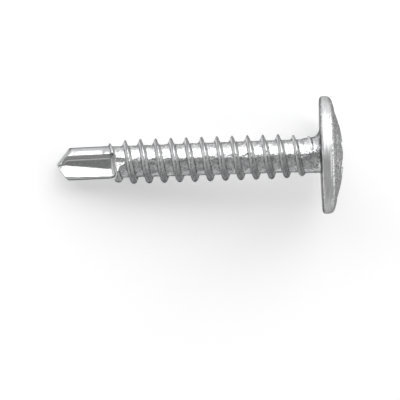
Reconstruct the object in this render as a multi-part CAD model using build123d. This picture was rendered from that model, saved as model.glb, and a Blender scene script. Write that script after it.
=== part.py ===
from build123d import *
import os
from math import asin, atan2, ceil, cos, degrees, pi, radians, sin, sqrt, tan

# Self drilling screw, ST4.2 x 25, with a wafer head and a cross recess: one piece of cold formed and
# zinc plated steel. Lengths are millimetres and angles are degrees. The screw is made along X, with
# the tip of its drill at the origin, its head towards +X and one flute facing +Z. At the end it is
# laid on the floor as it comes to rest: on the rim of its head and on the two lips of a flute.

# Shank
LENGTH = 24.2  # from the tip to the bearing face under the head
CORE_TIP_DIAMETER = 2.93  # between the threads, just behind the drill
CORE_HEAD_DIAMETER = 3.06  # between the threads, near the head
NECK_DIAMETER = 3.25  # plain neck under the head
NECK_LENGTH = 1.4
NECK_TAPER_LENGTH = 0.35  # where the core widens into the neck
NECK_ROUND = 0.45  # where the neck flares into the bearing face

# Thread: right hand, one start
THREAD_DIAMETER = 4.19
PITCH = 1.40
THREAD_ANGLE = 60.0
CREST_WIDTH = 0.12
THREAD_START = 4.62  # distance of the first trace of the ridge from the tip
THREAD_END = 23.72  # distance of its last trace from the tip
CREST_STATION = 6.363  # distance from the tip at which a crest crosses +Y
LEAD_IN_DIAMETER = 3.50  # the ridge rises to this at once
LEAD_IN_TURNS = 1.6  # and from there to the full diameter in this many turns
RUN_OUT_TURNS = 2.3  # at the head the crest falls away in this many turns
RUN_OUT_DIAMETER = 3.55  # to this, and from there at once into the neck
BREAK_TURNS = 0.25  # in which the ridge starts and stops
ROOT_DEPTH = 0.15  # how deep the ridge is let into the core

# Drill, pinched from the blank between two dies
DRILL_DIAMETER = 3.02
DRILL_LENGTH = 4.9  # from the tip to the end of its straight body
DRILL_TAPER_LENGTH = 0.5  # where the body narrows to the threaded core
POINT_ANGLE = 118.0
POINT_DIAMETER = 1.52  # out to here, and then to the body at the corner's angle
CORNER_ANGLE = 96.0
WEB = 0.64  # metal left between the floors of the two flutes
FLUTE_LENGTH = 5.15  # from the tip to the end of the flute's floor
FLUTE_FLOOR_HEIGHT = 0.41  # from the axis to the far edge of the floor
FLUTE_DRAFT = 18.0  # of the flute's far wall and end wall
RAKE_HEIGHT = -0.06  # from the axis to the foot of the cutting wall, level with the tip
RAKE_SLOPE = 7.0  # by which the cutting wall turns away from the axis
RAKE_DRAFT = 62.0  # it leans back from its foot to the lip, which leaves the flute open
NOTCH_LENGTH = 1.25  # shallow run-out behind the flute, through the first thread
NOTCH_DEPTH = 0.50  # of the run-out where it leaves the flute
NOTCH_WIDTH = 0.68  # and its width there
NOTCH_TIP_WIDTH = 0.40

# Head
HEAD_DIAMETER = 10.82
HEAD_HEIGHT = 2.12
RIM_HEIGHT = 1.07  # of the rim's front corner, before it is rounded
RIM_BACK_ROUND = 0.32
RIM_FRONT_ROUND = 0.45
FLANGE_SLOPE = 15.5  # of the ring that falls to the rim
BAND_DIAMETER = 8.60  # outside of the flatter band round the dome
DOME_DIAMETER = 7.86
DOME_RADIUS = 11.4

# Cross recess, size 2
RECESS_WIDTH = 4.80  # over two wings, where they cut the dome
RECESS_FLOOR_WIDTH = 2.29  # over two wings, at their floors
WING_WIDTH = 1.18  # at the dome
WING_FLOOR_WIDTH = 0.88
WING_TAPER = 26.5  # of the wings' outer ends
NOSE_RADIUS = 0.60  # of the four lands between the wings, at the dome
NOSE_FLOOR_RADIUS = 0.30
RECESS_FLOOR_ANGLE = 15.0  # by which the floors rise from the middle
RECESS_TURN = 45.0  # of the wings from the Y axis

# Making
ROUND_FACETS = 3  # straight pieces in the section of a small round
NECK_FACETS = 2
STEPS_PER_TURN = 16  # points to a turn that the thread's edges are drawn through
CURVE_TOLERANCE = 1e-4
OVERSHOOT = 0.5  # by which a cutting tool stands out of the metal

THREAD_TURNS = (THREAD_END - THREAD_START) / PITCH
ROOT_RADIUS = CORE_TIP_DIAMETER / 2 - ROOT_DEPTH
POINT_LENGTH = POINT_DIAMETER / 2 / tan(radians(POINT_ANGLE / 2))
SHOULDER = POINT_LENGTH + (DRILL_DIAMETER - POINT_DIAMETER) / 2 / tan(radians(CORNER_ANGLE / 2))


def faceted(section, facets):
    """The section with each of its small rounds drawn as so many straight chords."""
    lines = []
    for edge in section.wire().edges():
        if edge.geom_type == GeomType.CIRCLE and edge.radius < DOME_RADIUS:
            shares = [step / facets for step in range(facets + 1)]
            lines += Polyline(*edge.positions(shares)).edges()
        else:
            lines.append(edge)
    return make_face(Wire(lines))


def blank():
    """The turned form: drill body, core, neck and head, before any thread, flute or recess."""
    core_start = DRILL_LENGTH + DRILL_TAPER_LENGTH
    neck_start = LENGTH - NECK_LENGTH
    neck = NECK_DIAMETER / 2
    rim = HEAD_DIAMETER / 2
    band = BAND_DIAMETER / 2
    dome = DOME_DIAMETER / 2
    top = LENGTH + HEAD_HEIGHT
    band_station = LENGTH + RIM_HEIGHT + (rim - band) * tan(radians(FLANGE_SLOPE))
    dome_station = top - DOME_RADIUS + sqrt(DOME_RADIUS**2 - dome**2)
    outline = Polyline(
        (0, 0),
        (POINT_LENGTH, POINT_DIAMETER / 2),
        (SHOULDER, DRILL_DIAMETER / 2),
        (DRILL_LENGTH, DRILL_DIAMETER / 2),
        (core_start, CORE_TIP_DIAMETER / 2),
        (neck_start - NECK_TAPER_LENGTH, CORE_HEAD_DIAMETER / 2),
        (neck_start, neck),
        (LENGTH, neck),
        (LENGTH, rim),
        (LENGTH + RIM_HEIGHT, rim),
        (band_station, band),
        (dome_station, dome),
    )
    crown = RadiusArc((dome_station, dome), (top, 0), DOME_RADIUS)
    section = make_face(Wire([*outline.edges(), crown, Edge.make_line((top, 0), (0, 0))]))
    rounds = (
        (LENGTH, neck, NECK_ROUND, NECK_FACETS),
        (LENGTH, rim, RIM_BACK_ROUND, ROUND_FACETS),
        (LENGTH + RIM_HEIGHT, rim, RIM_FRONT_ROUND, ROUND_FACETS),
    )
    for station, radius, size, facets in rounds:
        corner = section.vertices().sort_by_distance((station, radius, 0))[0]
        section = faceted(fillet(corner, size), facets)
    return revolve(section, Axis.X)


def crest_radius(turn):
    """Radius of the thread's crest, so many turns from the first trace of the ridge."""
    full = THREAD_DIAMETER / 2
    left = THREAD_TURNS - turn
    lead_in = LEAD_IN_DIAMETER / 2 + (full - LEAD_IN_DIAMETER / 2) * turn / LEAD_IN_TURNS
    run_out = RUN_OUT_DIAMETER / 2 + (full - RUN_OUT_DIAMETER / 2) * left / RUN_OUT_TURNS
    share = min(1, turn / BREAK_TURNS, left / BREAK_TURNS)
    trace = ROOT_DEPTH / 10  # height of the ridge at its ends, inside the core
    return ROOT_RADIUS + trace + (min(full, lead_in, run_out) - ROOT_RADIUS - trace) * share


def ridge_corners(turn):
    """The four corners of the ridge's section, from its root on the tip's side to that on the head's."""
    crest = crest_radius(turn)
    half_crest = CREST_WIDTH / 2
    half_root = half_crest + (crest - ROOT_RADIUS) * tan(radians(THREAD_ANGLE / 2))
    middle = THREAD_START + PITCH * turn
    angle = 2 * pi * (middle - CREST_STATION) / PITCH
    steps = ((-half_root, ROOT_RADIUS), (-half_crest, crest), (half_crest, crest), (half_root, ROOT_RADIUS))
    return [Vector(middle + step, radius * cos(angle), radius * sin(angle)) for step, radius in steps]


def thread():
    """The ridge as one closed solid let into the core: four ruled faces to a turn, and two ends."""
    breaks = [0, BREAK_TURNS, LEAD_IN_TURNS]
    breaks += [THREAD_TURNS - RUN_OUT_TURNS, THREAD_TURNS - BREAK_TURNS, THREAD_TURNS]
    faces = []
    for low, high in zip(breaks, breaks[1:]):
        parts = ceil(high - low)
        for part in range(parts):
            first = low + (high - low) * part / parts
            span = (high - low) / parts
            steps = ceil(span * STEPS_PER_TURN) + 1
            sections = [ridge_corners(first + span * step / steps) for step in range(steps + 1)]
            edges = []
            for line in zip(*sections):
                edges.append(Edge.make_spline_approx(list(line), CURVE_TOLERANCE, min_deg=8, max_deg=8))
            for edge, following in zip(edges, edges[1:] + edges[:1]):
                faces.append(Face.make_surface_from_curves(edge, following))
    for turn in (0, THREAD_TURNS):
        faces.append(Face(Wire.make_polygon(ridge_corners(turn), close=True)))
    return Solid(Shell(faces))


def lips(station):
    """Heights above the axis of the two lips where the +Z flute cuts the drill's body: far and cutting."""
    floor = WEB / 2
    radius = DRILL_DIAMETER / 2
    found = []
    foot = RAKE_HEIGHT - station * tan(radians(RAKE_SLOPE))
    for side, height, draft in ((1, FLUTE_FLOOR_HEIGHT, FLUTE_DRAFT), (-1, foot, RAKE_DRAFT)):
        # The wall is y = height + side * (z - floor) * tan(draft), at a signed distance from the axis.
        lean = radians(draft)
        distance = side * height * cos(lean) - floor * sin(lean)
        found.append(side * (distance * cos(lean) + sqrt(radius**2 - distance**2) * sin(lean)))
    return found


def flute():
    """The tool for the flute on the +Z side: a flat floor between three drafted walls."""
    floor = WEB / 2
    top = DRILL_DIAMETER / 2 + OVERSHOOT
    far_step = (top - floor) * tan(radians(FLUTE_DRAFT))
    rake_step = (top - floor) * tan(radians(RAKE_DRAFT))

    def plan(height, far, end, drop):
        rake = [(x, RAKE_HEIGHT - x * tan(radians(RAKE_SLOPE)) - drop) for x in (-OVERSHOOT, end)]
        return Plane.XY.offset(height) * make_face(Polyline(*rake, (end, far), (-OVERSHOOT, far), close=True))

    low = plan(floor, FLUTE_FLOOR_HEIGHT, FLUTE_LENGTH, 0)
    high = plan(top, FLUTE_FLOOR_HEIGHT + far_step, FLUTE_LENGTH + far_step, rake_step)
    return loft([low, high], ruled=True)


def notch():
    """The tool for the flute's shallow run-out through the first thread, on the +Z side."""
    top = THREAD_DIAMETER / 2 + OVERSHOOT
    surface = CORE_TIP_DIAMETER / 2

    def section(station, width, bottom):
        return Plane.YZ.offset(station) * Pos(0, (bottom + top) / 2) * Rectangle(width, top - bottom)

    start = section(FLUTE_LENGTH, NOTCH_WIDTH, surface - NOTCH_DEPTH)
    end = section(FLUTE_LENGTH + NOTCH_LENGTH, NOTCH_TIP_WIDTH, surface)
    return loft([start, end], ruled=True)


def recess():
    """The punch for the cross recess: four wings that taper to a blunt cone."""
    slope = tan(radians(WING_TAPER))
    mouth = RECESS_WIDTH / 2
    floor = RECESS_FLOOR_WIDTH / 2
    mouth_station = LENGTH + HEAD_HEIGHT - DOME_RADIUS + sqrt(DOME_RADIUS**2 - mouth**2)
    depth = (mouth - floor) / slope
    rise = tan(radians(RECESS_FLOOR_ANGLE))
    bottom = mouth_station - depth - floor * rise

    def outline(station):
        share = (mouth_station - station) / depth
        reach = mouth + (floor - mouth) * share
        side = (WING_WIDTH + (WING_FLOOR_WIDTH - WING_WIDTH) * share) / 2
        nose = NOSE_RADIUS + (NOSE_FLOOR_RADIUS - NOSE_RADIUS) * share
        quarter = [(reach, side)]
        for step in range(ROUND_FACETS + 1):
            angle = pi / 2 * (1 - step / ROUND_FACETS)
            quarter.append((side + nose * (1 - cos(angle)), side + nose * (1 - sin(angle))))
        quarter.append((side, reach))
        turns = (RECESS_TURN, RECESS_TURN + 90, RECESS_TURN + 180, RECESS_TURN + 270)
        return [Vector(station, y, z).rotate(Axis.X, turn) for turn in turns for y, z in quarter]

    high = outline(LENGTH + HEAD_HEIGHT + OVERSHOOT)
    low = outline(bottom)
    polygons = [high, low]
    for corner in range(len(high)):
        polygons.append([high[corner - 1], high[corner], low[corner], low[corner - 1]])
    wings = Solid(Shell([Face(Wire.make_polygon(points, close=True)) for points in polygons]))
    reach = RECESS_WIDTH
    below = bottom - OVERSHOOT
    cone = Polyline((bottom, 0), (bottom + reach * rise, reach), (below, reach), (below, 0), close=True)
    return wings - revolve(make_face(cone), Axis.X)


def screw():
    body = blank() + thread()
    for turn in (0, 180):
        body -= flute().rotate(Axis.X, turn)
        body -= notch().rotate(Axis.X, turn)
    return body - recess()


def laid_down(body):
    """The body as it rests: on the rim of its head, and on both lips of the lower flute."""
    radius = DRILL_DIAMETER / 2
    far, cutting = (asin(height / radius) for height in lips(SHOULDER))
    roll = (far + cutting) / 2
    spread = (far - cutting) / 2
    drop = HEAD_DIAMETER / 2 - radius * cos(spread)
    tilt = atan2(drop, LENGTH + RIM_BACK_ROUND - SHOULDER)
    body = body.rotate(Axis.X, degrees(roll)).rotate(Axis.Y, -degrees(tilt))
    box = body.bounding_box()
    return Pos(-box.center().X, -box.center().Y, -box.min.Z) * body


os.makedirs("parts", exist_ok=True)
export_step(laid_down(screw()), "parts/screw.step")
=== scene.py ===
from math import cos, pi, radians, sin, sqrt, tan
from types import SimpleNamespace

import bpy
import numpy as np
from mathutils import Matrix, Vector


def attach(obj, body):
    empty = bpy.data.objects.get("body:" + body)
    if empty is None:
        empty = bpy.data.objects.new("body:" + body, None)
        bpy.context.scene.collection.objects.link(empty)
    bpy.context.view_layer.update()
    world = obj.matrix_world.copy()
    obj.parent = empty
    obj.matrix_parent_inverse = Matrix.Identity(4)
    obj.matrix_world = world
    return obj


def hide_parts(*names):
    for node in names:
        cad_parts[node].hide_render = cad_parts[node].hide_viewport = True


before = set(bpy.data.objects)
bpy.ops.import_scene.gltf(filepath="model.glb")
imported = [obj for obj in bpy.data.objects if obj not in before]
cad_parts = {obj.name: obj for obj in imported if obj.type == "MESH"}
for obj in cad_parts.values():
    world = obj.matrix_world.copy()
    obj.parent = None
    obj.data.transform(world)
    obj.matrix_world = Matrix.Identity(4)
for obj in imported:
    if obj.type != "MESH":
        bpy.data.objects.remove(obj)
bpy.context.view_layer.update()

MM = 0.001
ROLL = radians(-12.8459)  # of the screw about its own axis, as it lies
TILT = radians(10.3872)  # of its axis, up towards the head

# The screw's own axes, as it lies: X from the tip to the head, Z out of the flute that faces up. In the
# photograph's view Y is up, so what is called upper and lower below is so along Y.
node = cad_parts["screw"]
lie = Matrix.Rotation(-TILT, 3, "Y") @ Matrix.Rotation(ROLL, 3, "X")
tip = min((v.co for v in node.data.vertices), key=lambda co: co.x).copy()


def place(x, y, z):
    """A point given in the screw's own axes, in mm from the tip of its drill."""
    return tip + lie @ Vector((x, y, z)) * MM


# ---------------------------------------------------------------- sizes

# The CAD screw's own sizes, in mm, with its widths and the point's angles halved. Three aren't the CAD's:
# SHANK_IN_HEAD, LEAST_RISE and FURTHEST_SINK only keep the field well behaved.
LENGTH = 24.2  # from the tip to the bearing face
HEAD_HEIGHT = 2.12  # from the bearing face to the top of the dome
RIM_HEIGHT = 1.07
RIM = 5.41
BAND = 4.30  # outside of the flatter band round the dome
DOME = 3.93
DOME_RADIUS = 11.4  # of the dome's own curve
FLANGE_SLOPE = radians(15.5)

DRILL = 1.51
DRILL_LENGTH = 4.9
CORE_START = 5.4
CORE_END = 22.45
NECK_START = 22.8
CORE_TIP = 1.465  # the core, at its end by the drill
CORE_HEAD = 1.53  # and at its end by the head
NECK = 1.625
SHANK_IN_HEAD = 0.8  # how far the shank goes on into the head

POINT = 0.76  # out to here, and then to the body at the corner's angle
POINT_ANGLE = radians(59)
CORNER_ANGLE = radians(48)

THREAD = 2.095
PITCH = 1.40
THREAD_START = 4.62
THREAD_END = 23.72
THREAD_TURNS = (THREAD_END - THREAD_START) / PITCH
CREST_STATION = 6.363  # of a crest, on the upper side
LEAD_IN = 1.75  # the crest where the ridge starts
LEAD_IN_TURNS = 1.6
RUN_OUT = 1.775  # and where it ends
RUN_OUT_TURNS = 2.3
BREAK_TURNS = 0.25  # over which the ridge comes out of the core
BREAK_DEPTH = 0.15  # how deep in the core it starts
LEAST_RISE = 0.3  # limit of the crest's height over the ridge's start
FURTHEST_SINK = -6  # limit of the ridge's fall past its ends, in rises

FLOOR = 0.32  # of the flute, over the axis
FLUTE_LENGTH = 5.15
FLUTE_HEIGHT = 0.41
FLUTE_DRAFT = radians(18)
RAKE_HEIGHT = -0.06
RAKE_SLOPE = radians(7)
RAKE_DRAFT = radians(62)
NOTCH_LENGTH = 1.25
NOTCH_DEPTH = 0.50
NOTCH_SIDE = 0.34
NOTCH_TIP_SIDE = 0.20

MOUTH = 2.40  # of the recess, out to a wing's end
RECESS_FLOOR = 1.145
WING = 0.59  # half of a wing's width at the mouth
WING_FLOOR = 0.44
WING_TAPER = radians(26.5)
NOSE = 0.60
RECESS_RISE = radians(15)
RECESS_TURN = radians(45)
MOUTH_STATION = LENGTH + HEAD_HEIGHT - DOME_RADIUS + sqrt(DOME_RADIUS**2 - MOUTH**2)

# Small forms that only the shown surface has.
DRILL_LEAN = 0.07  # to one side, at the tip
POINT_SKEW = 0.10
WEDGE_WIDTH = 0.4  # over which the lower lobe's point turns from a cone into a wedge
WEDGE_LEAN = 0.10
WEDGE_TOP = 0.55
HEEL_WALL = 0.36  # of the flute's wall along the point's upper edge, which leaves some heel standing
HEEL_WALL_START = 0.17
HEEL_WALL_SLOPES = (0.77, 0.64, 0.30)  # of its face, along X, Y and Z
HEEL_WALL_SIDE = 0.10  # how far it goes on below the axis
HEEL_START = 0.16  # of the face ground on the upper lobe's heel
HEEL_HEIGHT = 0.45
HEEL_SLOPES = (0.758, 0.652, 0.28)
FACET_MIDDLE = (5.25, -0.5, 1.15)  # of the small facet behind the flute's end
FACET_NORMAL = (-0.45, 0.42, 0.79)
FACET_START = 5.05
FACET_END = 5.95
FACET_SIDE = 0.05
LAND = 1.37  # from the axis to each pinched land
LAND_END = 4.3
LAND_NORMAL = (0.588, 0.809)
CREST_HALF = 0.14  # half of the crest's width
CREST_SWING = 0.10  # by which it is less on the upper side and more on the lower
FIRST_CREST = 0.10  # more width for the first crest on the lower side
FLANK_SLOPE = 0.32  # widening of the ridge to each side, per mm of depth. The CAD screw's is 0.577
FLANK_SWING = 0.09
CREST_ROUND = 0.20
CREST_ROUND_SWING = 0.11
NECK_FLARE = 0.75  # size of the round between the neck and the head
NECK_FLARE_SWING = 0.45
SKIN = 0.022  # taken off all round, so that no swell is past the CAD screw
SWELL = 0.35  # across a swell
SWELL_STATIONS = (5, 6, 23.9, 24.3, 25.3, 25.7)
SWELL_HEIGHTS = (0.0015, 0.013, 0.013, 0.003, 0.003, 0.016)

# ---------------------------------------------------------------- the screw's surface

# Each form is a field: about the distance from its surface, in mm, negative inside. Factors just under 1
# bring a slanting form's values closer to the true distance. The last number given to smax and smin is
# the size of the round that they leave.


def smax(a, b, size):
    """The larger of two fields, with the corner between them rounded to about that size."""
    near = np.maximum(size - np.abs(a - b), 0) / size
    return np.maximum(a, b) + near * near * size * 0.25


def smin(a, b, size):
    """The smaller of two fields, rounded in the same way."""
    return -smax(-a, -b, size)


def crest_at(turn):
    """Radius of the thread's crest, so many turns from where the ridge starts."""
    left = THREAD_TURNS - turn
    lead_in = LEAD_IN + (THREAD - LEAD_IN) * turn / LEAD_IN_TURNS
    run_out = RUN_OUT + (THREAD - RUN_OUT) * left / RUN_OUT_TURNS
    share = np.clip(np.minimum(turn, left) / BREAK_TURNS, FURTHEST_SINK, 1)
    low = CORE_TIP - BREAK_DEPTH
    rise = np.maximum(np.minimum(THREAD, np.minimum(lead_in, run_out)) - low, LEAST_RISE)
    return low + rise * share


def top_height(r):
    """Height of the head's front above its bearing face, at each radius."""
    top = HEAD_HEIGHT - DOME_RADIUS + np.sqrt(DOME_RADIUS**2 - np.minimum(r, DOME) ** 2)
    edge = HEAD_HEIGHT - DOME_RADIUS + sqrt(DOME_RADIUS**2 - DOME**2)
    band = RIM_HEIGHT + (RIM - BAND) * tan(FLANGE_SLOPE)
    heights = (edge, band, RIM_HEIGHT, RIM_HEIGHT - tan(FLANGE_SLOPE))
    return np.where(r < DOME, top, np.interp(r, (DOME, BAND, RIM, RIM + 1), heights))


def blank(x, r):
    """The turned shank: drill, core and neck."""
    stations = (0, DRILL_LENGTH, CORE_START, CORE_END, NECK_START, LENGTH + 3)
    radii = (DRILL, DRILL, CORE_TIP, CORE_HEAD, NECK, NECK)
    return smax(r - np.interp(x, stations, radii), x - LENGTH - SHANK_IN_HEAD, 0.1)


def point(x, y, z, drill):
    """The drill's point: a two-angled cone, and a wedge on the lower lobe, on the camera's side."""
    share = np.clip(np.maximum(y / WEDGE_WIDTH + 0.5, -z / WEDGE_WIDTH), 0, 1)
    wide = np.sqrt(y * y + z * z * share * share)
    back = x - POINT_SKEW * y * drill - WEDGE_LEAN * (WEDGE_TOP - z) * (1 - share)
    cone = (wide / tan(POINT_ANGLE) - back) * sin(POINT_ANGLE)
    corner = (POINT / tan(POINT_ANGLE) + (wide - POINT) / tan(CORNER_ANGLE) - back) * sin(CORNER_ANGLE)
    return smax(cone, corner, 0.3)


def heel(x, y, z):
    """The face ground on the upper lobe's heel."""
    along, across, rise = HEEL_SLOPES
    return (y * across - (x - HEEL_START) * along) * 0.96 + (z - HEEL_HEIGHT) * rise


def thread(x, y, z, r, upward):
    """The helical ridge, narrower on the upper side and wider on the lower."""
    ridge_x = x - CREST_STATION - PITCH * np.arctan2(z, y) / (2 * pi)
    along = ridge_x - np.round(ridge_x / PITCH) * PITCH
    turn = (x - along - THREAD_START) / PITCH
    crest = crest_at(turn)
    first = FIRST_CREST * np.clip(2.5 - 2.3 * turn, 0, 1) * np.clip(-upward, 0, 1)
    half = CREST_HALF - CREST_SWING * upward + first
    flank = (np.abs(along) - half - (crest - r) * (FLANK_SLOPE + FLANK_SWING * upward)) * 0.95
    return smax(flank, r - crest, CREST_ROUND - CREST_ROUND_SWING * upward)


def flute(x, y, z):
    """The flute that faces up. Its wall along the point's upper edge leaves some of the heel standing."""
    rise = z - FLOOR
    far = (y - FLUTE_HEIGHT - rise * tan(FLUTE_DRAFT)) * cos(FLUTE_DRAFT)
    rake = (RAKE_HEIGHT - x * tan(RAKE_SLOPE) - rise * tan(RAKE_DRAFT) - y) * cos(RAKE_DRAFT)
    end = (x - FLUTE_LENGTH - rise * tan(FLUTE_DRAFT)) * cos(FLUTE_DRAFT)
    along, across, up = HEEL_WALL_SLOPES
    wall = HEEL_WALL - up * rise - along * (x - HEEL_WALL_START) + across * y
    open_side = smax(smax(smax(-rise, far, 0.20), rake, 0.05), end, 0.35)
    return smax(open_side, smin(wall * 0.95, y + HEEL_WALL_SIDE, 0.15), 0.12)


def notch(x, y, z):
    """The flute's shallow run-out through the first thread."""
    along = (x - FLUTE_LENGTH) / NOTCH_LENGTH
    bottom = (CORE_TIP - NOTCH_DEPTH * (1 - along) - z) * 0.93
    side = np.abs(y) - (NOTCH_SIDE + (NOTCH_TIP_SIDE - NOTCH_SIDE) * along)
    ends = np.abs(x - FLUTE_LENGTH - NOTCH_LENGTH / 2) - NOTCH_LENGTH / 2
    return smax(smax(bottom, side, 0.2), ends, 0.1)


def facet(x, y, z):
    """The small facet behind the flute's end, within its bounds."""
    face = sum(n * (value - m) for n, value, m in zip(FACET_NORMAL, (x, y, z), FACET_MIDDLE))
    bounds = smin(smin(x - FACET_START, FACET_END - x, 0.05), FACET_SIDE - y, 0.05)
    return smin(face, bounds, 0.05)


def recess(x, y, z, r):
    """The cross recess: four wings that taper to a sloping floor."""
    a = np.abs(y * cos(RECESS_TURN) + z * sin(RECESS_TURN))
    b = np.abs(z * cos(RECESS_TURN) - y * sin(RECESS_TURN))
    depth = (MOUTH - RECESS_FLOOR) / tan(WING_TAPER)
    share = (MOUTH_STATION - x) / depth
    reach = MOUTH + (RECESS_FLOOR - MOUTH) * share
    side = WING + (WING_FLOOR - WING) * share
    wings = [smax((p - reach) * cos(WING_TAPER), q - side, 0.06) for p, q in ((a, b), (b, a))]
    cross = smin(wings[0], wings[1], NOSE / 0.854)
    bottom = MOUTH_STATION - depth - RECESS_FLOOR * tan(RECESS_RISE)
    floor = (bottom + r * tan(RECESS_RISE) - x) * cos(RECESS_RISE)
    return smax(cross, floor, 0.08)


def swells(x, y, z):
    """Slow random swells, about between -1 and 1."""
    waves = np.random.default_rng(7).normal(size=(7, 3)) * 3.1 / SWELL
    return sum(np.sin(a * x + b * y + c * z + n * 1.7) for n, (a, b, c) in enumerate(waves)) / 4


def field(x, y, z):
    """The whole screw."""
    drill = np.clip(1 - x / CORE_START, 0, 1)
    y = y + DRILL_LEAN * drill
    r = np.sqrt(y * y + z * z)
    upward = y / np.maximum(r, 0.5)
    shank = smax(blank(x, r), point(x, y, z, drill), 0.05)
    shank = smax(shank, heel(x, y, z), 0.06)
    shank = smin(shank, thread(x, y, z, r, upward), 0.09)
    for side in (1, -1):
        shank = smax(shank, -flute(x, side * y, side * z), 0.04)
        shank = smax(shank, -notch(x, side * y, side * z), 0.06)
    shank = smax(shank, facet(x, y, z), 0.05)
    across, up = LAND_NORMAL
    for side in (1, -1):
        shank = smax(shank, (across * y + up * z) * side - (LAND + np.maximum(x - LAND_END, 0)), 0.15)
    head = smax(smax(r - RIM, LENGTH - x, 0.375), (x - LENGTH - top_height(r)) * 0.97, 0.5)
    body = smin(shank, head, NECK_FLARE + NECK_FLARE_SWING * upward)
    body = smax(body, -recess(x, y, z, r), 0.05)
    return body + SKIN + np.interp(x, SWELL_STATIONS, SWELL_HEIGHTS) * swells(x, y, z)


# ---------------------------------------------------------------- its mesh

FINE = 0.085  # spacing of the grid along the screw and round its shank
COARSE = 0.16  # and out to the rim
SHANK_HALF = 2.45
HEAD_HALF = 5.65
HEAD_GRID = LENGTH - 0.65  # from here on the grid is as wide as the head
GRID_START = -0.25
GRID_END = LENGTH + HEAD_HEIGHT + 0.2
PAST_LINE = 0.01  # so far past a grid line, when its number is looked up


def steps(*spans):
    """Grid lines over several spans, each given as (start, end, spacing)."""
    lines = [np.linspace(a, b, max(2, round((b - a) / step) + 1))[:-1] for a, b, step in spans]
    return np.append(np.concatenate(lines), spans[-1][1])


def surface_net(xs, ys, zs, values):
    """One vertex in each grid cell that the surface crosses, and a quad round each edge that it crosses."""
    inside = values < 0
    corners = [(i, j, k) for i in (0, 1) for j in (0, 1) for k in (0, 1)]
    shape = tuple(n - 1 for n in values.shape)
    count = np.zeros(shape, np.int8)
    for corner in corners:
        count += inside[tuple(slice(start, start + n) for start, n in zip(corner, shape))]
    cells = np.argwhere((count > 0) & (count < 8))
    number = np.full(shape, -1, np.int64)
    number[tuple(cells.T)] = np.arange(len(cells))
    total = np.zeros((len(cells), 3))
    weight = np.zeros(len(cells))
    for a in corners:
        for axis in range(3):
            if a[axis]:
                continue
            b = list(a)
            b[axis] = 1
            va = values[tuple((cells + a).T)]
            vb = values[tuple((cells + b).T)]
            cross = (va < 0) != (vb < 0)
            t = np.where(cross, va / np.where(cross, va - vb, 1), 0)
            for n, lines in enumerate((xs, ys, zs)):
                start, stop = lines[cells[:, n] + a[n]], lines[cells[:, n] + b[n]]
                total[:, n] += np.where(cross, start + (stop - start) * t, 0)
            weight += cross
    quads = [edge_quads(inside, number, axis) for axis in range(3)]
    return total / weight[:, None], np.concatenate(quads)


def edge_quads(inside, number, axis):
    """A quad round each grid edge along one axis that the surface crosses, facing outward."""
    u, v = (axis + 1) % 3, (axis + 2) % 3
    low = [slice(1, -1)] * 3
    high = [slice(1, -1)] * 3
    low[axis], high[axis] = slice(0, -1), slice(1, None)
    first, second = inside[tuple(low)], inside[tuple(high)]
    edges = np.argwhere(first != second)
    outward = first[tuple(edges.T)]
    edges[:, u] += 1
    edges[:, v] += 1
    ring = []
    for du, dv in ((-1, -1), (0, -1), (0, 0), (-1, 0)):
        cell = edges.copy()
        cell[:, u] += du
        cell[:, v] += dv
        ring.append(number[tuple(cell.T)])
    ring = np.stack(ring, 1)
    ring[~outward] = ring[~outward][:, ::-1]
    return ring


def settle(points, limit=0.04, rounds=4, reach=0.004):
    """The points moved onto the surface itself, along the field's slope."""
    for _ in range(rounds):
        here = field(*points.T)
        slope = np.empty_like(points)
        for axis in range(3):
            step = np.zeros(3)
            step[axis] = reach
            slope[:, axis] = (field(*(points + step).T) - field(*(points - step).T)) / (2 * reach)
        square = np.maximum((slope * slope).sum(1), 0.25)
        move = -slope * (here / square)[:, None]
        length = np.sqrt((move * move).sum(1))
        points = points + move * np.minimum(1, limit / np.maximum(length, 1e-9))[:, None]
    return points


def screw_mesh():
    """The screw's surface as a mesh of quads, as it lies. The grid beside the shank is left out."""
    xs = steps((GRID_START, HEAD_GRID, FINE), (HEAD_GRID, GRID_END, FINE))
    outside = (SHANK_HALF, HEAD_HALF, COARSE)
    ys = steps((-HEAD_HALF, -SHANK_HALF, COARSE), (-SHANK_HALF, SHANK_HALF, FINE), outside)
    values = np.full((len(xs), len(ys), len(ys)), 1.0, np.float32)
    shank = int(np.searchsorted(xs, HEAD_GRID + PAST_LINE))
    low = int(np.searchsorted(ys, -SHANK_HALF - PAST_LINE))
    high = int(np.searchsorted(ys, SHANK_HALF + PAST_LINE)) + 1
    blocks = [(slice(start, min(start + 32, shank)), slice(low, high)) for start in range(0, shank, 32)]
    blocks += [(slice(start, start + 16), slice(0, len(ys))) for start in range(shank, len(xs), 16)]
    for along, across in blocks:
        grid = np.meshgrid(xs[along], ys[across], ys[across], indexing="ij")
        values[along, across, across] = field(*grid)
    points, quads = surface_net(xs, ys, ys, values)
    lying = settle(points) @ np.array(lie).T * MM + np.array(tip)
    mesh = bpy.data.meshes.new("screw_body")
    mesh.from_pydata(lying.tolist(), [], quads.tolist())
    mesh.polygons.foreach_set("use_smooth", [True] * len(quads))
    mesh.update()
    return mesh


# ---------------------------------------------------------------- shader nodes


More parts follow.
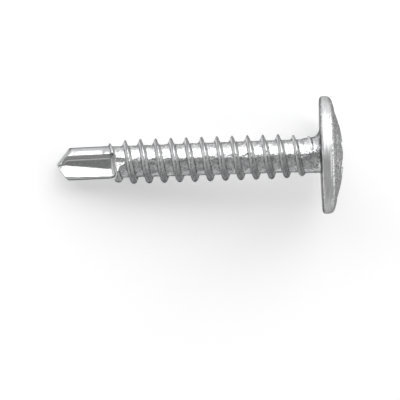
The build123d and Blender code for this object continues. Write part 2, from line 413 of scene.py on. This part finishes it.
class Tree:
    """A node tree with short ways to add to it. A value is a number, a colour or another node's output."""

    def __init__(self, node_tree):
        self.nodes = node_tree.nodes
        self.links = node_tree.links

    def feed(self, socket, value):
        if isinstance(value, bpy.types.NodeSocket):
            self.links.new(value, socket)
        else:
            socket.default_value = (*value, 1) if socket.type == "RGBA" else value

    def math(self, operation, *values):
        made = self.nodes.new("ShaderNodeMath")
        made.operation = operation
        for socket, value in zip(made.inputs, values):
            self.feed(socket, value)
        return made.outputs[0]

    def times(self, product, *values):
        for value in values:
            product = self.math("MULTIPLY", product, value)
        return product

    def plus(self, total, *values):
        for value in values:
            total = self.math("ADD", total, value)
        return total

    def less(self, value, taken):
        return self.math("SUBTRACT", value, taken)

    def most(self, value, other):
        return self.math("MAXIMUM", value, other)

    def toward(self, value, target, share):
        """The value moved to the target by a share of the way."""
        return self.plus(value, self.times(self.less(target, value), share))

    def ramp(self, value, low, high, start=0.0, end=1.0):
        """The value's range low to high, spread smoothly over start to end."""
        made = self.nodes.new("ShaderNodeMapRange")
        made.interpolation_type = "SMOOTHSTEP"
        numbers = (("From Min", low), ("From Max", high), ("To Min", start), ("To Max", end))
        for name, number in numbers:
            made.inputs[name].default_value = number
        self.feed(made.inputs["Value"], value)
        return made.outputs["Result"]

    def noise(self, coordinates, scale, detail, rough):
        made = self.nodes.new("ShaderNodeTexNoise")
        made.inputs["Scale"].default_value = scale
        made.inputs["Detail"].default_value = detail
        made.inputs["Roughness"].default_value = rough
        self.feed(made.inputs["Vector"], coordinates)
        return made.outputs["Fac"]

    def stretched(self, coordinates, *scales):
        made = self.nodes.new("ShaderNodeVectorMath")
        made.operation = "MULTIPLY"
        made.inputs[1].default_value = scales
        self.feed(made.inputs[0], coordinates)
        return made.outputs[0]

    def split(self, vector):
        made = self.nodes.new("ShaderNodeSeparateXYZ")
        self.feed(made.inputs[0], vector)
        return made.outputs

    def mix(self, share, first, second):
        """The first colour, with a share of the second one over it."""
        made = self.nodes.new("ShaderNodeMix")
        made.data_type = "RGBA"
        self.feed(made.inputs["Factor"], share)
        self.feed(made.inputs[6], first)
        self.feed(made.inputs[7], second)
        return made.outputs[2]

    def own_axes(self, vector, origin, scale):
        """The same vector in the screw's own axes."""
        made = self.nodes.new("ShaderNodeMapping")
        made.vector_type = "TEXTURE"
        made.inputs["Location"].default_value = origin
        made.inputs["Rotation"].default_value = lie.to_euler()
        made.inputs["Scale"].default_value = (scale, scale, scale)
        self.feed(made.inputs["Vector"], vector)
        return made.outputs[0]


def new_material(name):
    material = bpy.data.materials.new(name)
    material.use_nodes = True
    material.node_tree.nodes.clear()
    return material, Tree(material.node_tree)


# ---------------------------------------------------------------- zinc

DARK_ZINC = (0.34, 0.35, 0.365)  # the plating's mottled tones lie between these two
LIGHT_ZINC = (0.80, 0.80, 0.795)
DARK_FLECK = (0.33, 0.335, 0.345)
LIGHT_FLECK = (0.95, 0.95, 0.94)
WORN_EDGE = (0.70, 0.70, 0.69)
CREASE_SHADE = (0.30, 0.304, 0.312)
FLANK = (0.80, 0.80, 0.80)
TIP_FLANK_LIGHT = (0.95, 0.95, 0.95)
CREST_SHADE = (0.27, 0.274, 0.282)
END_WALL_LIGHT = (0.88, 0.88, 0.88)
GROUND_POINT = (0.36, 0.364, 0.372)
RECESS_BLUE = (0.48, 0.72, 0.84)


def zinc_masks(tree):
    """Where on the screw each part of the finish lies, and where light and shade are painted, from 0 to 1,
    worked out from its own axes in mm.
    """
    where = tree.nodes.new("ShaderNodeTexCoord")
    mm = tree.own_axes(where.outputs["Object"], tip, MM)
    x, y, z = tree.split(mm)
    r = tree.math("SQRT", tree.plus(tree.times(y, y), tree.times(z, z)))
    facing = tree.split(tree.own_axes(where.outputs["Normal"], (0, 0, 0), 1))
    lengthways = tree.math("ABSOLUTE", facing[0])
    tipward = tree.ramp(facing[0], -0.25, -0.6)

    # The head: its front, its turned side, all of it but its front, and what is sunk in the recess.
    head = tree.ramp(x, LENGTH - 0.15, LENGTH + 0.05)
    front = tree.times(tree.ramp(facing[0], 0.45, 0.8), head)
    side = tree.times(head, tree.less(1.0, tree.ramp(lengthways, 0.3, 0.7)))
    skirt = tree.times(tree.ramp(facing[0], 0.5, 0.85, 1.0, 0.0), head)
    dome = tree.less(LENGTH + HEAD_HEIGHT, tree.math("DIVIDE", tree.times(r, r), 2 * DOME_RADIUS))
    wall = tree.plus(MOUTH + 0.12 - MOUTH_STATION * tan(WING_TAPER), tree.times(x, tan(WING_TAPER)))
    sunk = tree.times(tree.ramp(tree.less(dome, x), 0.06, 0.5), tree.ramp(x, 22.9, 23.1))
    sunk = tree.times(sunk, tree.ramp(tree.less(wall, r), 0.0, 0.1))

    # The thread: its flanks, those that face the tip (painted lighter: painted light), and its crests
    # (painted darker, most towards the upper and lower sides: painted shade).
    before_neck = tree.ramp(x, 23.6, 24.0, 1.0, 0.0)
    flank = tree.times(tree.ramp(lengthways, 0.45, 0.8), tree.ramp(r, 1.55, 1.75))
    flank = tree.times(flank, tree.times(tree.ramp(x, 4.8, 5.2), before_neck))
    tip_flank_light = tree.times(flank, tipward)
    # Painted shade: the crests are painted darker, most towards the upper and lower sides.
    crest = tree.times(tree.ramp(r, 1.70, 1.95), before_neck)
    crest = tree.times(crest, tree.ramp(tree.math("ABSOLUTE", y), 0.5, 1.5, 0.3, 0.85))
    neck = tree.ramp(x, 22.8, 23.6, 0.0, 0.5)

    # The drill: all of it, its flutes, faces that look down (painted lighter on the flutes: painted light),
    # the flutes' end walls (painted lighter: painted highlight), and the ground point.
    drill = tree.ramp(x, 4.7, 5.6, 1.0, 0.0)
    fluted = tree.times(drill, tree.ramp(r, 1.2, 1.38, 1.0, 0.0))
    downward_light = tree.ramp(facing[1], -0.08, -0.35)
    end_wall_light = tree.times(tipward, tree.ramp(r, 1.38, 1.5, 1.0, 0.0))
    end_wall_light = tree.times(end_wall_light, tree.times(tree.ramp(x, 4.5, 4.8), tree.ramp(x, 5.7, 6.0, 1.0, 0.0)))
    ground_point = tree.times(tree.ramp(facing[0], -0.3, -0.6), tree.ramp(x, 1.6, 1.9, 1.0, 0.0))

    # Wear: edges rubbed bright. The creases are painted darker: painted shade.
    pointiness = tree.nodes.new("ShaderNodeNewGeometry").outputs["Pointiness"]
    edge = tree.ramp(pointiness, 0.52, 0.58)
    crease_shade = tree.times(tree.ramp(pointiness, 0.48, 0.43), tree.less(1.0, drill))

    calm = tree.most(tree.most(drill, skirt), tree.most(tree.times(flank, 0.5), neck))
    # Less metal on the flanks and end walls. With their paler colours, this lightens the tip-facing flanks
    # and the end walls as painted light.
    less_metal = tree.plus(tree.times(flank, 0.27), tree.times(tip_flank_light, 0.28))
    less_metal = tree.most(less_metal, tree.times(end_wall_light, 0.5))
    return SimpleNamespace(
        mm=mm, front=front, side=side, sunk=sunk, flank=flank, tip_flank_light=tip_flank_light, crest=crest,
        drill=drill, fluted=fluted, downward_light=downward_light, end_wall_light=end_wall_light, ground_point=ground_point,
        edge=edge, crease_shade=crease_shade, calm=calm, less_metal=less_metal,
    )


def zinc_noises(tree, mm):
    """The patterns in the plating. A noise's first number is about how many of its marks fit in a mm."""
    flecks = tree.stretched(mm, 1.0, 1.0, 0.6)
    return SimpleNamespace(
        blotch=tree.noise(mm, 2.8, 3.0, 0.55),
        grain=tree.noise(mm, 5.0, 3.0, 0.5),
        pits=tree.noise(mm, 11.0, 2.0, 0.5),
        drawn=tree.noise(tree.stretched(mm, 0.22, 1.0, 1.0), 7.0, 4.0, 0.6),
        turned=tree.noise(tree.stretched(mm, 6.0, 0.7, 0.7), 1.0, 3.0, 0.6),
        speck=tree.noise(flecks, 6.0, 3.0, 0.8),
        chips=tree.noise(flecks, 6.0, 2.0, 0.6),
    )


def zinc_colour(tree, at, noise):
    """Mottled, and streaked round the head's side. Worn edges are brighter. Painted shade darkens the creases
    and the crests, the crests most towards the upper and lower sides; painted light brightens the flanks that
    face the tip, the flutes' end walls and the flutes' faces that look down.
    """
    mottle = tree.plus(tree.times(noise.blotch, 0.5), tree.times(noise.grain, 0.5))
    mottle = tree.toward(mottle, tree.plus(0.34, tree.times(noise.turned, 0.38)), at.side)
    # The flutes' faces that look down are painted lighter: painted light.
    drilled = tree.plus(0.47, tree.times(at.fluted, tree.plus(0.02, tree.times(at.downward_light, 0.2))))
    mottle = tree.toward(mottle, drilled, tree.times(at.drill, 0.85))
    tone = tree.nodes.new("ShaderNodeValToRGB")
    for element, position, colour in zip(tone.color_ramp.elements, (0.37, 0.63), (DARK_ZINC, LIGHT_ZINC)):
        element.position = position
        element.color = (*colour, 1)
    tree.feed(tone.inputs[0], mottle)

    dark = tree.times(tree.ramp(noise.speck, 0.48, 0.38), at.front, 0.8)
    light = tree.times(tree.ramp(noise.speck, 0.47, 0.57), at.front, 0.95)
    colour = tone.outputs[0]
    for share, over in (
        (dark, DARK_FLECK),
        (light, LIGHT_FLECK),
        (tree.times(at.edge, 0.7), WORN_EDGE),
        # painted shade: the creases are painted darker
        (tree.times(at.crease_shade, 0.4), CREASE_SHADE),
        (tree.times(at.flank, 0.85), FLANK),
        # painted light: the flanks that face the tip are painted lighter
        (tree.times(at.tip_flank_light, 0.7), TIP_FLANK_LIGHT),
        # painted shade: the crests are painted darker
        (at.crest, CREST_SHADE),
        # painted highlight: the flutes' end walls are painted lighter
        (at.end_wall_light, END_WALL_LIGHT),
        (tree.times(at.ground_point, 0.85), GROUND_POINT),
        (tree.times(at.sunk, 0.85), RECESS_BLUE),
    ):
        colour = tree.mix(share, colour, over)
    return colour


def zinc_roughness(tree, at, noise):
    """Smoother on the drill and the worn edges, duller on the flanks and on the head's front and side."""
    rough = tree.plus(0.20, tree.times(noise.grain, 0.16), tree.times(at.front, 0.08))
    rough = tree.less(rough, tree.times(at.calm, 0.07))
    rough = tree.less(rough, tree.times(at.edge, 0.05))
    return tree.plus(rough, tree.times(at.flank, 0.16), tree.times(at.side, 0.24))


def zinc_height(tree, at, noise):
    """Height of the bumps, in mm, less on the calm parts."""
    return tree.plus(
        tree.times(noise.blotch, tree.ramp(at.calm, 0.0, 1.0, 0.06, 0.0)),
        tree.times(noise.grain, tree.ramp(at.calm, 0.0, 1.0, 0.030, 0.005)),
        tree.times(noise.pits, tree.ramp(at.calm, 0.0, 1.0, 0.008, 0.002)),
        tree.times(noise.drawn, tree.times(at.drill, 0.012)),
        tree.times(noise.turned, tree.times(at.side, 0.018)),
        tree.times(tree.times(noise.chips, at.front), 0.03),
    )


def zinc():
    """Bright zinc on cold formed steel: mottled and finely pitted, with drawn marks on the drill."""
    material, tree = new_material("zinc_plated_steel")
    at = zinc_masks(tree)
    noise = zinc_noises(tree, at.mm)
    bump = tree.nodes.new("ShaderNodeBump")
    bump.inputs["Strength"].default_value = 1.0
    bump.inputs["Distance"].default_value = MM
    tree.feed(bump.inputs["Height"], zinc_height(tree, at, noise))
    surface = tree.nodes.new("ShaderNodeBsdfPrincipled")
    tree.feed(surface.inputs["Metallic"], tree.less(1.0, at.less_metal))
    tree.feed(surface.inputs["Specular Tint"], tree.plus(0.15, tree.times(at.fluted, 0.75)))
    tree.feed(surface.inputs["Base Color"], zinc_colour(tree, at, noise))
    tree.feed(surface.inputs["Roughness"], zinc_roughness(tree, at, noise))
    tree.feed(surface.inputs["Normal"], bump.outputs[0])
    out = tree.nodes.new("ShaderNodeOutputMaterial")
    tree.feed(out.inputs["Surface"], surface.outputs[0])
    return material


node.data.materials.clear()
node.data.materials.append(zinc())
screw = bpy.data.objects.new("screw_body", screw_mesh())
bpy.context.collection.objects.link(screw)
screw.data.materials.append(node.data.materials[0])
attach(screw, "root")
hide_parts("screw")

# ---------------------------------------------------------------- floor

FLOOR_RADIUS = 1.5
FLOOR_GREY = (0.80, 0.80, 0.80)
FLOOR_LIFT = 0.3


def white_paper():
    """White paper that keeps the shadow. It is lifted to white where it is seen, straight or in the metal."""
    material, tree = new_material("white_paper")
    diffuse = tree.nodes.new("ShaderNodeBsdfDiffuse")
    tree.feed(diffuse.inputs["Color"], FLOOR_GREY)
    path = tree.nodes.new("ShaderNodeLightPath")
    seen = path.outputs["Is Camera Ray"]
    for ray in ("Is Glossy Ray", "Is Transmission Ray"):
        seen = tree.most(seen, path.outputs[ray])
    glow = tree.nodes.new("ShaderNodeEmission")
    tree.feed(glow.inputs["Strength"], tree.times(seen, FLOOR_LIFT))
    both = tree.nodes.new("ShaderNodeAddShader")
    tree.feed(both.inputs[0], diffuse.outputs[0])
    tree.feed(both.inputs[1], glow.outputs[0])
    out = tree.nodes.new("ShaderNodeOutputMaterial")
    tree.feed(out.inputs["Surface"], both.outputs[0])
    return material


bpy.ops.mesh.primitive_circle_add(vertices=96, radius=FLOOR_RADIUS, fill_type="NGON", location=(0, 0, 0))
floor = bpy.context.object
floor.name = "floor"
floor.data.materials.append(white_paper())

# ---------------------------------------------------------------- light

SKY_LEVELS = ((0, 0.32), (0.25, 0.28), (0.8, 0.28), (0.96, 0.26), (1, 0.30))  # (height, level), upward
FRONT_GLOW = 0.5  # more light from the photographer's side
BOX_DISTANCE = 0.6  # of the softboxes from the screw, in metres


def studio():
    """An even grey room, with a little more light from the front."""
    world = bpy.data.worlds.new("studio")
    world.use_nodes = True
    tree = Tree(world.node_tree)
    x, y, z = tree.split(tree.nodes.new("ShaderNodeTexCoord").outputs["Generated"])
    sky = tree.nodes.new("ShaderNodeValToRGB")
    for height, _ in SKY_LEVELS[1:-1]:
        sky.color_ramp.elements.new(height)
    for element, (_, level) in zip(sky.color_ramp.elements, SKY_LEVELS):
        element.color = (level, level, level, 1)
    tree.feed(sky.inputs[0], z)
    near = tree.most(tree.times(y, z), -1.0)
    near = tree.most(tree.times(near, -FRONT_GLOW), 0.0)
    background = tree.nodes["Background"]
    tree.feed(background.inputs["Color"], tree.plus(sky.outputs[0], near))
    background.inputs["Strength"].default_value = 1.0
    return world


def softbox(name, azimuth, low, high, spread, radiance):
    """A panel that spans elevations low to high and an azimuth spread either side, seen from the screw."""
    middle = radians((low + high) / 2)
    light = bpy.data.lights.new(name, "AREA")
    light.shape = "RECTANGLE"
    light.size = 2 * BOX_DISTANCE * tan(radians(spread))
    light.size_y = 2 * BOX_DISTANCE * tan(radians(high - low) / 2)
    light.energy = radiance * pi * light.size * light.size_y
    lamp = bpy.data.objects.new(name, light)
    bpy.context.collection.objects.link(lamp)
    turn = radians(azimuth)
    lamp.location = Vector((sin(turn) * cos(middle), cos(turn) * cos(middle), sin(middle))) * BOX_DISTANCE
    lamp.rotation_euler = (-lamp.location).to_track_quat("-Z", "Y").to_euler()


bpy.context.scene.world = studio()
softbox("softbox_back", azimuth=0, low=1, high=57, spread=52, radiance=2.6)
softbox("softbox_right", azimuth=95, low=8, high=38, spread=22, radiance=1.8)

# ---------------------------------------------------------------- camera

PICTURE = 400  # pixels across the photograph
PX_PER_MM = 10.93
TIP_PX = (56.1, 164.1)  # where the drill's tip is in it
RISE = radians(1.96)  # of the screw's axis in it, up towards the head
LENS = 600.0
SENSOR = 36.0

# The camera looks along the screw's own Z, and frames the screw as the photograph does.
right = Vector((cos(RISE), -sin(RISE), 0))
up = Vector((sin(RISE), cos(RISE), 0))
centre = right * ((PICTURE / 2 - TIP_PX[0]) / PX_PER_MM) - up * ((PICTURE / 2 - TIP_PX[1]) / PX_PER_MM)
camera_data = bpy.data.cameras.new("camera")
camera_data.lens = LENS
camera_data.sensor_width = SENSOR
camera_data.clip_start = 0.01
camera_data.clip_end = 20.0
camera = bpy.data.objects.new("camera", camera_data)
bpy.context.collection.objects.link(camera)
camera.location = place(centre.x, centre.y, PICTURE / PX_PER_MM * LENS / SENSOR)
axes = Matrix((lie @ right, lie @ up, lie @ Vector((0, 0, 1)))).transposed()
camera.rotation_euler = axes.to_euler()
bpy.context.scene.camera = camera
bpy.context.scene.view_settings.view_transform = "Standard"
